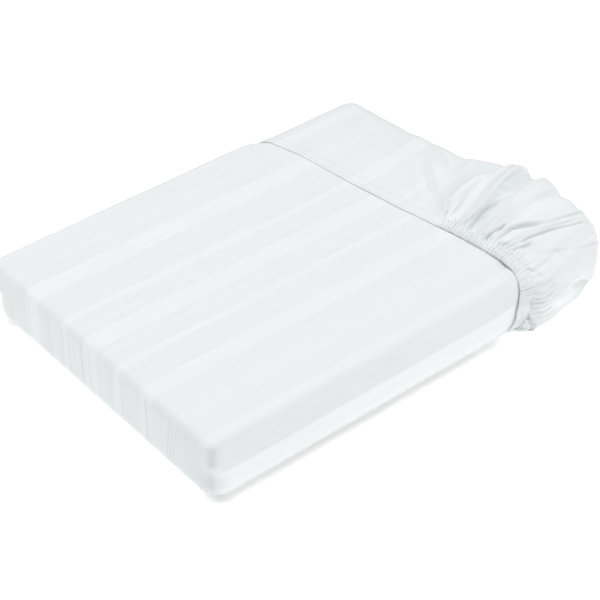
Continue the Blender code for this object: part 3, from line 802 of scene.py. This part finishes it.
def side_lift(y, z):
    """How far the folds of the right side raise it at this place."""
    lift = 0.0
    for y0, z0, y1, z1, height, width in SIDE_FOLDS:
        run = Vector((y1 - y0, z1 - z0)) * MM
        off = Vector((y - y0 * MM, z - z0 * MM))
        along = min(1.0, max(0.0, off.dot(run) / run.length_squared))
        distance = (off - run * along).length
        lift += height * MM * math.exp(-((distance / (width * MM)) ** 2))
    return lift


def cap_rows(hem, place, thick=1.0):
    """(y, distance in from the hem, depth below the outer face) of each row, hem to far edge."""
    end = place.far - place.radius
    rows = [(hem + off * MM, off * MM, depth * thick * MM) for off, depth in HEM_ROLL]
    rows += [(hem + off * MM, off * MM, 0.0) for off in HEM_ROWS]
    last = hem + HEM_ROWS[-1] * MM
    rest = [mix(last, end, part) for part in REST_ROWS]
    rest += [mix(end, place.far, part) for part in turn_parts(FAR_TURN)[-2::-1]]
    return rows + [(y, y - hem, 0.0) for y in rest]


def band_share(off):
    return smooth(off, -2 * MM, 0.4 * BAND) - smooth(off, 0.4 * BAND, 1.1 * BAND)


def elastic(x):
    return smooth(x, *ELASTIC_RUN)


def hem_place(at, outward, off, depth):
    """A place of the turn-over, sunk in at the hem's turned edge."""
    return {"at": at - outward * depth, "off": off, "relief": 1 - smooth(depth, 0, FLAT_DEPTH)}


def top_line(column):
    """One line of the top, from the hem's turned edge over the flap to the far rim."""
    hem_x, rim_x, lift, rim_lift = column
    whole = CapPlace(rim_x)
    start = hem_y(hem_x)
    line = []
    for y, off, depth in cap_rows(start, whole, mix(HEM_FLAT, 1.0, elastic(hem_x))):
        part = share_of(y, start, whole.far - whole.radius)
        place = CapPlace(rim_x, part)
        x = mix(hem_x, rim_x, smooth(part, *SPREAD_RUN) if part < 1 else 1.0)
        if hem_x > CAP_INNER_X:
            inward = (CAP_X - hem_x) / CAP_RADIUS
            x = place.side - inward * place.radius
        at, outward = place.round_off((x, min(y, place.far), place.top))
        rise = mix(lift, rim_lift, smooth(part, *PLEAT_RIM)) * smooth(part, *PLEAT_IN)
        at.z += rise + BAND_RISE * elastic(hem_x) * band_share(off)
        line.append(hem_place(at, outward, off, depth))
    return line


def wall_levels(place, turn, wall):
    """Heights from the top's sharp edge down to the bottom's."""
    low = FLOOR + CAP_RADIUS
    high = place.top - place.radius
    edge = [mix(high, place.top, part) for part in turn_parts(turn)]
    foot = [mix(low, FLOOR, part) for part in turn_parts(turn)[::-1]]
    return edge + even(high, low, wall)[1:-1] + foot


def side_line(row, start, side):
    """A line down the right (1) or left (-1) side of the turn-over."""
    rim_x = side * CAP_X
    whole = CapPlace(rim_x)
    top_hem = hem_y(rim_x)
    y = cap_rows(top_hem, whole)[row][0]
    part = share_of(y, top_hem, whole.far - whole.radius)
    place = CapPlace(rim_x, part)
    if side > 0:
        levels = refined(wall_levels(place, FAR_TURN * FINE, WALL_ROWS * FINE_WALL), 0)
        thick = 1.0
    else:
        levels = wall_levels(place, FAR_TURN, WALL_ROWS)
        thick = HEM_FLAT
    line = [start]
    for z in levels[1:]:
        at_z = CapPlace(rim_x, part, z)
        if z < FLOOR + CAP_RADIUS + MM:
            at_z.radius = CAP_RADIUS
        hem = HEM_LEFT_Y if side < 0 else hem_side_y(z)
        y, off, depth = cap_rows(hem, at_z, thick)[row]
        x = at_z.side if side > 0 else -CAP_X
        at, outward = at_z.round_off((x, y, z))
        if side > 0:
            share = smooth(part, *FOLDS_IN) * (1 - smooth(part, *FOLDS_OUT))
            at.x += share * side_lift(at.y, at.z)
            low = 1 - smooth(at.z, FLOOR, FLOOR + CAP_RADIUS)
            at.z += low * foot_lift(CAP_X, at.y)
        line.append(hem_place(at, outward, off, depth))
    return line


def under_point(x, row):
    """A place on the turn-over's bottom."""
    place = CapPlace(x, z=0.0)
    place.radius = CAP_RADIUS
    y, off, _ = cap_rows(bottom_end(x), place)[row]
    at, _ = place.round_off((x, y, FLOOR))
    at.z += foot_lift(at.x, at.y)
    return {"at": at, "off": off, "run": 0.0, "across": at.x}


def far_point(column, level, count):
    """A place on the far wall, on a pleat's line."""
    rim_x, rim_lift = column[1], column[3]
    base = CapPlace(rim_x)
    z = wall_levels(base, FAR_TURN, WALL_ROWS)[level]
    place = CapPlace(rim_x, z=z)
    if level > FAR_TURN + WALL_ROWS:
        place.radius = CAP_RADIUS
    at, _ = place.round_off((rim_x, place.far, z))
    at.y += rim_lift * max(0.0, 1 - level / (count - 1))
    return {"at": at, "drop": base.top - z, "relief": 1.0}


def measure(top, right):
    """Distances along the hem and across the cloth, over the top and on down the right side."""
    lines = top + list(zip(*right))[1:]
    run = across = top[0][EDGE_ROW]["at"].x
    for line, before in zip(lines, top[:1] + lines):
        run += (line[EDGE_ROW]["at"] - before[EDGE_ROW]["at"]).length
        across += (line[-1]["at"] - before[-1]["at"]).length
        for place in line:
            place["run"] = run
            place["across"] = across


def build_cap(cloth):
    columns, first = cap_columns()
    fine_columns = list(zip(*(refined(sizes, first) for sizes in zip(*columns))))
    top = [top_line(column) for column in fine_columns]
    rows = len(top[0])
    right = [side_line(row, top[-1][row], 1) for row in range(rows)]
    left = [side_line(row, top[0][row], -1) for row in range(rows)]
    measure(top, right)
    for line in left:
        for place in line[1:]:
            place["run"] = place["across"] = place["at"].z - CAP_TOP - CAP_X
    # On the flat flap the stripes run straight; on the pouch they follow the gathers.
    for line, column in zip(top, fine_columns):
        gathered = smooth(column[0], *STRIPE_GATHER)
        for place in line:
            place["across"] = mix(place["at"].x, place["across"], gathered)

    # The bottom has no hem: it goes on into the pack's bottom.
    below = (
        edge_steps(-CAP_X, 1, CAP_RADIUS, FAR_TURN)
        + [x * CAP_INNER_X / FLAT_COLUMNS[-1] for x in FLAT_COLUMNS[1:-1]]
        + edge_steps(CAP_X, -1, CAP_RADIUS, FAR_TURN)[::-1]
    )
    bottom = []
    for row in range(EDGE_ROW, rows):
        middle = [under_point(x, row) for x in below[1:-1]]
        bottom.append([left[row][-1]] + middle + [right[row][-1]])

    cloth.patch(top[: first + 1], TURNED)
    gathered, plain = top[first:], top[first::SPLIT]
    cloth.patch([line[: BAND_END + 1] for line in gathered], TURNED)
    cloth.patch([line[BAND_END + 1 :] for line in plain], TURNED)
    picks = range(0, len(gathered), SPLIT)
    fine, coarse = [line[BAND_END] for line in gathered], [line[BAND_END + 1] for line in plain]
    cloth.strip(fine, coarse, picks, TURNED)

    cloth.patch(right[: BAND_END + 1], TURNED)
    cloth.patch([line[::SPLIT] for line in right[BAND_END + 1 :]], TURNED)
    picks = range(0, len(right[0]), SPLIT)
    cloth.strip(right[BAND_END], right[BAND_END + 1][::SPLIT], picks, TURNED)
    cloth.patch(left, TURNED)
    cloth.patch(bottom, TURNED)
    rim = [line[-1] for line in top[:first] + plain]
    build_far_wall(cloth, columns, rim, left[-1], right[-1][::SPLIT], bottom[-1], below)


def hung(line, rim):
    """The far wall's places, each measured on from the rim's place above it."""
    for place, above in zip(line, rim):
        place.update(run=above["run"], across=above["across"], off=above["off"] + place["drop"])
    return line


def build_far_wall(cloth, columns, rim, left_corner, right_corner, foot, below):
    """The far wall on the pleats' lines, down to a round foot on the bottom's fewer lines."""
    count = len(left_corner) - FAR_TURN
    upper = [rim[:-1]]
    for level in range(1, count):
        line = [far_point(column, level, count) for column in columns[:-1]]
        upper.append([left_corner[level]] + hung(line, rim)[1:])
    rims = [column[1] for column in columns[:-1]]
    picks = [closest(rims, x) for x in below[:-1]]
    picks[0], picks[-1] = 0, len(rims) - 1
    above = [rim[pick] | {"run": 0.0} for pick in picks]
    lower = []
    for level in range(count, len(left_corner) - 1):
        line = [far_point((x, x, 0.0, 0.0), level, count) for x in below[:-1]]
        lower.append([left_corner[level]] + hung(line, above)[1:])
    lower.append(foot[:-1])
    cloth.patch(upper, TURNED)
    cloth.strip(upper[-1], lower[0], picks, TURNED)
    cloth.patch(lower, TURNED)
    # The right side's many levels end on the far wall's few.
    turned, wall = FAR_TURN * FINE, WALL_ROWS * FINE_WALL
    picks = [*range(0, turned, FINE), *range(turned, turned + wall, FINE_WALL)]
    picks += range(turned + wall, 2 * turned + wall + 1, FINE)
    cloth.strip(right_corner, [line[-1] for line in upper + lower], picks, TURNED)


# --- Materials ---

# Satin stripes across the cloth
WRAP_STRIPES = (
    # middle mm, width mm, strength
    (-150, 17, 1), (-119, 6, 0.6), (-97, 1.6, 0.4), (-93.6, 1.6, 0.4), (-72.5, 15.5, 1),
    (-48.5, 1.6, 0.25), (-34.4, 6, 0.9), (-20.3, 2.4, 0.35), (-5.2, 15.5, 0.85), (9.8, 2.4, 0.35),
    (24.8, 6, 0.85), (56, 13, 0.8), (80, 1.4, 0.35), (83.6, 1.4, 0.35), (87.3, 1.8, 0.5),
    (90.9, 1.4, 0.4), (94.3, 1.4, 0.4), (114.5, 6.5, 0.5), (150, 18, 1),
)
# Bands darker than the cloth, where it rounds down over its two sides
WRAP_DARK_BANDS = (
    # middle mm, width mm, strength
    (133, 15, 0.3), (-133, 12, 0.3),
)
# Painted shade: lines and broad patches that darken where the cloth turns down the near wall, where the
# satin stripes look dark
NEAR_WALL_PAINTED_SHADE = (
    # middle mm, width mm, strength
    (-119.5, 1.6, 0.6), (-115.5, 1.2, 0.5), (-76.4, 1.3, 0.8), (-54, 7, 0.35), (-37, 3.4, 0.5),
    (-30, 1.2, 0.7), (-14.8, 1.6, 0.9), (-11, 0.9, 0.6), (-6.4, 1.4, 0.8), (17.4, 1.4, 0.6),
    (30, 1.2, 0.5), (56.6, 2.2, 1), (60.5, 0.9, 0.5), (83.6, 1.5, 1), (87, 1.4, 0.9), (90.4, 1.4, 0.9),
    (93.6, 1.2, 0.7), (96.6, 1, 0.5), (112, 28, 0.3), (-92, 28, 0.15),
)
LEANING = (90.0, 16.0)  # middle mm, half width mm of the group that leans as it goes down
LEAN = 0.19
LEAN_EDGE = 6 * MM
TURNED_STRIPES = (
    # middle mm, width mm, strength
    (-103.5, 9, 1.1), (-79.5, 1.2, 0.35), (-77, 1.2, 0.45), (-72.8, 2.4, 0.9), (-69, 1.2, 0.3),
    (-66, 1.2, 0.3), (-32, 13.5, 1.2), (6, 4, 0.7), (17, 1.6, 0.3), (42, 15, 0.8), (78, 6, 0.25),
    (108, 15, 0.5), (140, 6, 0.6), (172, 15, 0.7),
)


class Nodes:
    """Short calls for building a new material's node tree."""

    def __init__(self, name):
        self.material = bpy.data.materials.new(name)
        self.material.use_nodes = True
        self.tree = self.material.node_tree
        self.shader = self.tree.nodes["Principled BSDF"]

    def put(self, socket, value):
        if isinstance(value, bpy.types.NodeSocket):
            self.tree.links.new(value, socket)
        else:
            socket.default_value = value

    def node(self, kind, *values, **settings):
        """A new node with these settings, and these values in its first sockets."""
        node = self.tree.nodes.new("ShaderNode" + kind)
        for name, value in settings.items():
            setattr(node, name, value)
        for socket, value in zip(node.inputs, values):
            self.put(socket, value)
        return node

    def math(self, operation, first, second=0.0):
        return self.node("Math", first, second, operation=operation).outputs[0]

    times = functools.partialmethod(math, "MULTIPLY")
    plus = functools.partialmethod(math, "ADD")
    minus = functools.partialmethod(math, "SUBTRACT")
    most = functools.partialmethod(math, "MAXIMUM")

    def uv(self, name):
        place = self.node("UVMap", uv_map=name)
        return self.node("SeparateXYZ", place.outputs[0]).outputs[:2]

    def noise(self, x, y, detail):
        vector = self.node("CombineXYZ", x, y, 0.0)
        return self.node("TexNoise", vector.outputs[0], 0.0, 1.0, detail).outputs["Fac"]

    def step(self, value, start, end, low=0.0, high=1.0):
        node = self.node("MapRange", value, start, end, low, high)
        node.interpolation_type = "SMOOTHSTEP"
        return node.outputs["Result"]

    def band(self, value, middle, width, strength=1.0, edge=0.5 * MM):
        """strength inside a band of this width, 0 outside it."""
        away = self.math("ABSOLUTE", self.minus(value, middle))
        half = width / 2
        return self.step(away, half - edge, half + edge, strength, 0.0)

    def blend(self, share, first, second):
        node = self.node("Mix", data_type="RGBA")
        for name, value in (("Factor", share), ("A", first), ("B", second)):
            self.put(node.inputs[name], value)
        return next(out for out in node.outputs if out.type == "RGBA")

    def bump(self, height, distance, strength):
        node = self.node("Bump", strength, distance)
        self.put(node.inputs["Height"], height)
        return node.outputs[0]

    def look(self, values):
        for name, value in values.items():
            self.put(self.shader.inputs[name], value)


MATTE = (0.748, 0.779, 0.779, 1.0)
SATIN = (0.796, 0.828, 0.826, 1.0)
SHADE = (0.62, 0.65, 0.65, 1.0)
STRAY_RATE = 14.0  # per metre
STRAY = 1.6 * MM
WALL_START = (2 * MM, 8 * MM)  # of the near wall, down from its sharp top edge
# Painted shade: on the near wall the satin stripes keep only this share, so they are fainter there than
# on the top.
SATIN_LEFT_IN_WALL_SHADE = 0.6
LINE_RATES = (900.0, 12.0)  # per metre, across the cloth and along it
YARN_RATES = (160.0, 25.0)
LINE_SHADE = (0.35, 0.75, 0.0, 0.12)  # noise from and to, and the shade's share there
YARN_SHADE = (0.4, 0.8, 0.0, 0.10)
BAND_AND_WALL_SHADE_SHARE = 0.6
STITCH = 2.4 * MM
STITCH_WIDTH = 0.6 * MM
STITCH_EDGE = 0.2 * MM
STITCH_BEAT = (-0.6, 0.2)
STITCH_SHADE = 0.6
HEM_STITCHES = (1.4, 8.6)  # mm in from the hem's edge
THREAD = 0.45 * MM
FLOAT_SLANT = 0.35
FLOAT_RATE = 0.9
WEAVE_RELIEF = 0.02  # as a share of the bump's depth, like the four here
RELIEFS = (0.35, 0.12, -0.4, -0.5)  # of the fine lines, the satin, the darker side bands with the near wall's painted shade, and the stitches
BUMP = (0.3 * MM, 0.5)  # depth and strength
ROUGHNESS = (0.78, 0.5)  # of the matte cloth and of satin
COTTON_LOOK = {"Sheen Weight": 0.15, "Sheen Roughness": 0.45, "Specular IOR Level": 0.35}
FLOOR_LOOK = {
    "Base Color": (0.95, 0.95, 0.95, 1.0),
    "Emission Color": (1.0, 1.0, 1.0, 1.0),
    "Emission Strength": 0.4,
    "Roughness": 0.9,
    "Specular IOR Level": 0.0,
}


def stripes(n, place, table):
    """The strongest of a table's stripes at this place across the cloth."""
    share = 0.0
    for middle, width, strength in table:
        share = n.most(share, n.band(place, middle * MM, width * MM, strength))
    return share


def streaks(n, place, along, rates):
    """Noise drawn out along the cloth."""
    return n.noise(n.times(place, rates[0]), n.times(along, rates[1]), 3.0)


def cotton(name, satin_table, dark_band_table=(), wall_shade_table=()):
    """White cotton with satin stripes woven in, fine lines along the cloth, a weave, hem stitches and
    painted shade on the near wall.
    """
    n = Nodes(name)
    across, along = n.uv("cloth")
    run, off = n.uv("hem")

    # Nothing woven is quite straight, and one group of lines leans down the near wall.
    stray = n.noise(0.0, n.times(along, STRAY_RATE), 2.0)
    place = n.plus(across, n.times(n.minus(stray, 0.5), STRAY))
    down = n.most(n.minus(WRAP_NEAR, along), 0.0)
    group = n.band(across, LEANING[0] * MM, 2 * LEANING[1] * MM, LEAN, LEAN_EDGE)
    place = n.plus(place, n.times(down, group))
    on_wall = n.step(down, *WALL_START)
    # Painted shade: the satin stripes fade as the cloth goes down the near wall.
    satin = n.times(stripes(n, place, satin_table), n.step(on_wall, 0.0, 1.0, 1.0, SATIN_LEFT_IN_WALL_SHADE))
    bands_and_wall_shade = stripes(n, place, dark_band_table)
    # Painted shade: the near wall's lines and patches darken its colour.
    darker = n.times(stripes(n, place, wall_shade_table), on_wall)
    bands_and_wall_shade = n.most(bands_and_wall_shade, darker)

    # Fine lines along the cloth, and a slight unevenness of the yarn.
    lines = streaks(n, place, along, LINE_RATES)
    yarn = streaks(n, place, along, YARN_RATES)
    colour = n.blend(satin, MATTE, SATIN)
    colour = n.blend(n.step(lines, *LINE_SHADE), colour, SHADE)
    colour = n.blend(n.step(yarn, *YARN_SHADE), colour, SHADE)
    # The darker side bands and the near wall's painted shade blend the colour toward SHADE.
    colour = n.blend(n.times(bands_and_wall_shade, BAND_AND_WALL_SHADE_SHARE), colour, SHADE)

    # Two rows of stitches along the hem.
    rows = 0.0
    for middle in HEM_STITCHES:
        rows = n.most(rows, n.band(off, middle * MM, STITCH_WIDTH, 1.0, STITCH_EDGE))
    beat = n.math("SINE", n.times(run, 2 * math.pi / STITCH))
    stitches = n.times(rows, n.step(beat, *STITCH_BEAT))
    colour = n.blend(n.times(stitches, STITCH_SHADE), colour, SHADE)

    # Long floats on a slant on the satin stripes, a plain weave between them.
    turn = 2 * math.pi / THREAD
    warp = n.math("SINE", n.times(across, turn))
    weft = n.math("SINE", n.times(along, turn))
    plain = n.times(n.times(warp, weft), n.minus(1.0, satin))
    slant = n.plus(across, n.times(along, FLOAT_SLANT))
    floats = n.times(n.math("SINE", n.times(slant, FLOAT_RATE * turn)), satin)
    height = n.times(n.plus(plain, floats), WEAVE_RELIEF)
    for layer, share in zip((lines, satin, bands_and_wall_shade, stitches), RELIEFS):
        height = n.plus(height, n.times(layer, share))
    normal = n.bump(height, *BUMP)
    roughness = n.step(satin, 0.0, 1.0, *ROUGHNESS)
    n.look(COTTON_LOOK | {"Base Color": colour, "Normal": normal, "Roughness": roughness})
    return n.material


# --- Scene ---

AZIMUTH = math.radians(50.096)
ELEVATION = math.radians(38.65)
CAMERA_DISTANCE = 1.3125
CAMERA_AIM = Vector((-3.67 * MM, 11.13 * MM, 0.0))
SENSOR = 36.0
LENS = 110.743
CLIP_START = 0.01
DOME = 0.22
FLOOR_HALF = 6.0
LIGHTS = (
    # name, place m, side m, power W
    ("left", (-1.5, -1.2, 1.2), 1.0, 15.6),
    ("right", (1.9, 0.2, 1.0), 1.0, 7.6),
    ("back", (1.3, 1.4, 1.0), 1.0, 7.0),
    ("top", (0.0, 0.0, 2.2), 1.2, 31.5),
)


def add_object(name, data):
    item = bpy.data.objects.new(name, data)
    bpy.context.scene.collection.objects.link(item)
    return item


def build_sheet():
    cloth = Cloth()
    build_wrap(cloth)
    build_plies(cloth)
    build_cap(cloth)
    cloth.join()
    cloth.raise_relief()
    data = bpy.data.meshes.new("sheet_cloth")
    cloth.mesh.to_mesh(data)
    cloth.mesh.free()
    data.materials.append(cotton("striped_cotton", WRAP_STRIPES, WRAP_DARK_BANDS, NEAR_WALL_PAINTED_SHADE))
    data.materials.append(cotton("striped_cotton_turned", TURNED_STRIPES))
    sheet = add_object("sheet_cloth", data)
    thicken = sheet.modifiers.new("thickness", "SOLIDIFY")
    thicken.thickness = CLOTH
    thicken.offset = 0
    return sheet


def add_camera():
    data = bpy.data.cameras.new("camera")
    data.sensor_width = SENSOR
    data.lens = LENS
    data.clip_start = CLIP_START
    camera = add_object("camera", data)
    level = math.cos(ELEVATION)
    back = Vector((math.sin(AZIMUTH) * level, -math.cos(AZIMUTH) * level, math.sin(ELEVATION)))
    camera.location = CAMERA_AIM + back * CAMERA_DISTANCE
    camera.rotation_euler = (-back).to_track_quat("-Z", "Y").to_euler()
    bpy.context.scene.camera = camera


def add_light(name, place, size, power):
    data = bpy.data.lights.new(name, "AREA")
    data.shape = "SQUARE"
    data.size = size
    data.energy = power
    light = add_object(name, data)
    light.location = place
    direction = Vector() - Vector(place)
    light.rotation_euler = direction.to_track_quat("-Z", "Y").to_euler()


def add_surroundings():
    data = bpy.data.meshes.new("floor")
    sides = ((-1, -1), (1, -1), (1, 1), (-1, 1))
    data.from_pydata([(x * FLOOR_HALF, y * FLOOR_HALF, 0) for x, y in sides], [], [(0, 1, 2, 3)])
    n = Nodes("studio_floor")
    n.look(FLOOR_LOOK)
    data.materials.append(n.material)
    floor = add_object("floor", data)
    world = bpy.data.worlds.new("studio")
    world.use_nodes = True
    background = world.node_tree.nodes["Background"]
    background.inputs["Color"].default_value = (1.0, 1.0, 1.0, 1.0)
    background.inputs["Strength"].default_value = DOME
    bpy.context.scene.world = world
    for name, place, size, power in LIGHTS:
        add_light(name, place, size, power)
    bpy.context.scene.view_settings.view_transform = "Standard"


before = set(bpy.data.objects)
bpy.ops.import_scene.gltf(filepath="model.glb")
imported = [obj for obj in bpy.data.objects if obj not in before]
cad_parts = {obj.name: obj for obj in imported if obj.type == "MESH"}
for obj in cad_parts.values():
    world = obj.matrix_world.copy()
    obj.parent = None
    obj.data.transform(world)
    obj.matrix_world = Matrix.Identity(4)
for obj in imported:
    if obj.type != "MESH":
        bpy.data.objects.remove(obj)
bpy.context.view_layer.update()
sheet = build_sheet()
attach(sheet, "root")
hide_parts("fitted_sheet")
add_surroundings()
add_camera()
